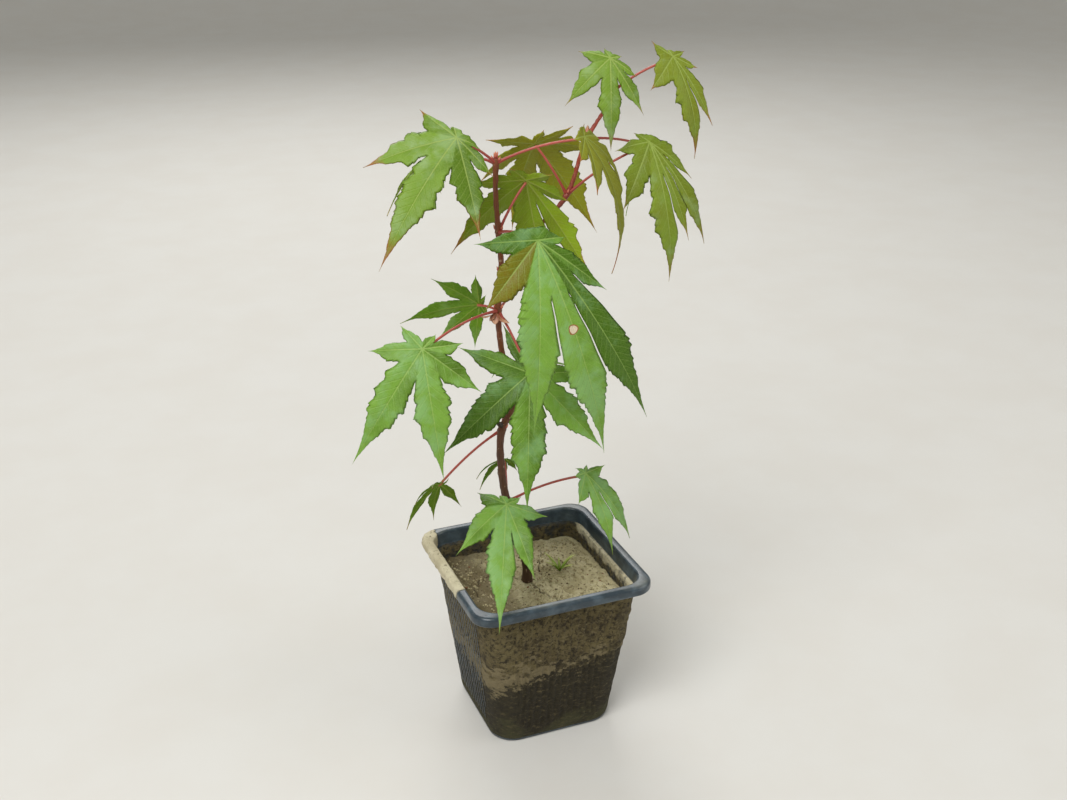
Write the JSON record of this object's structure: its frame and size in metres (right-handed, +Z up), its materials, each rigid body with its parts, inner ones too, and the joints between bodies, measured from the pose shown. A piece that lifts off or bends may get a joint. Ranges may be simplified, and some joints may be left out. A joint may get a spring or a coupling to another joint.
{
  "type": "potted japanese maple",
  "caption": "Young palmate-leaved shrub with a thin zigzag stem, a side branch and long-stalked leaves, in a square plastic nursery pot of soil.",
  "frame": {"origin": "middle of the pot's flat underside", "axes": "+Z up along the pot's axis and the stem; X and Y along the pot's sides, with -Y towards the picture's viewer"},
  "size_m": [0.1664, 0.1041, 0.2847],
  "materials": {
    "pot_plastic": "satin, muddy outside",
    "soil": "matt, dry sandy compost",
    "bark": "satin reddish-brown bark",
    "young_bark": "smooth red bark",
    "leaf": "satin green leaf",
    "young_leaf": "satin yellow-green leaf with brown-red tips"
  },
  "bodies": {
    "root": {"pot": "pot_plastic", "soil": "soil", "main_stem": "bark", "side_branch": "young_bark", "leaf_top_left": "young_leaf", "leaf_top_hanging": "young_leaf", "leaf_top_back": "young_leaf", "leaf_upper_middle": "young_leaf", "leaf_large_front": "leaf", "leaf_left_back": "leaf", "leaf_lower_front": "leaf", "leaf_left_front": "leaf", "leaf_low_left_back": "leaf", "leaf_low_back": "leaf", "leaf_over_rim": "leaf", "leaf_low_right": "leaf", "leaf_branch_tip_left": "young_leaf", "leaf_branch_tip_right": "young_leaf", "leaf_branch_right": "leaf", "leaf_back_right": "leaf", "leaf_back_left": "young_leaf", "leaf_back_low": "leaf", "leaf_branch_back": "leaf"}
  },
  "joints": []
}
